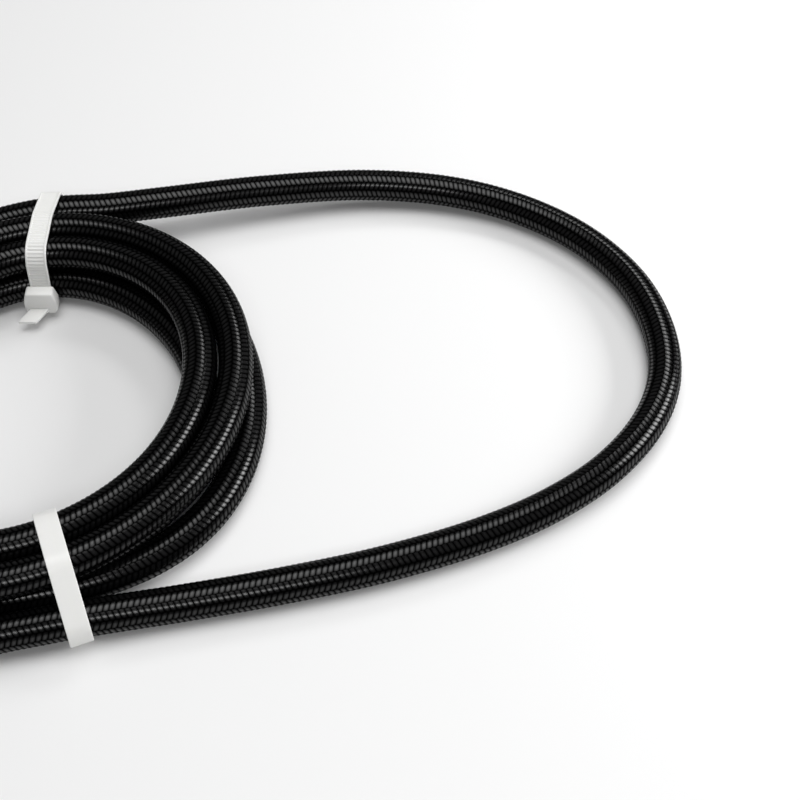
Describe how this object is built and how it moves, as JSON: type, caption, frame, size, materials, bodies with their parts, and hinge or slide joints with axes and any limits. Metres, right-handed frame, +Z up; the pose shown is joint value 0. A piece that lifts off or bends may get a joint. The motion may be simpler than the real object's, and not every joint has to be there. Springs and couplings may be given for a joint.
{
  "type": "fuel hose",
  "caption": "Coiled length of braided fuel hose with plain cut ends, tied at the rear and the front, one loop pulled out to the side.",
  "frame": {"origin": "middle of the footprint's box, on the floor the hose lies on", "axes": "+X from the coil towards the loop pulled out, +Y towards the rear tie, +Z up"},
  "size_m": [0.3824, 0.2558, 0.0351],
  "materials": {
    "black_braid": "woven nylon braid, satin, over rubber",
    "white_nylon": "satin nylon"
  },
  "bodies": {
    "root": {"hose": "black_braid", "cable_tie_rear": "white_nylon", "cable_tie_front": "white_nylon"}
  },
  "joints": []
}
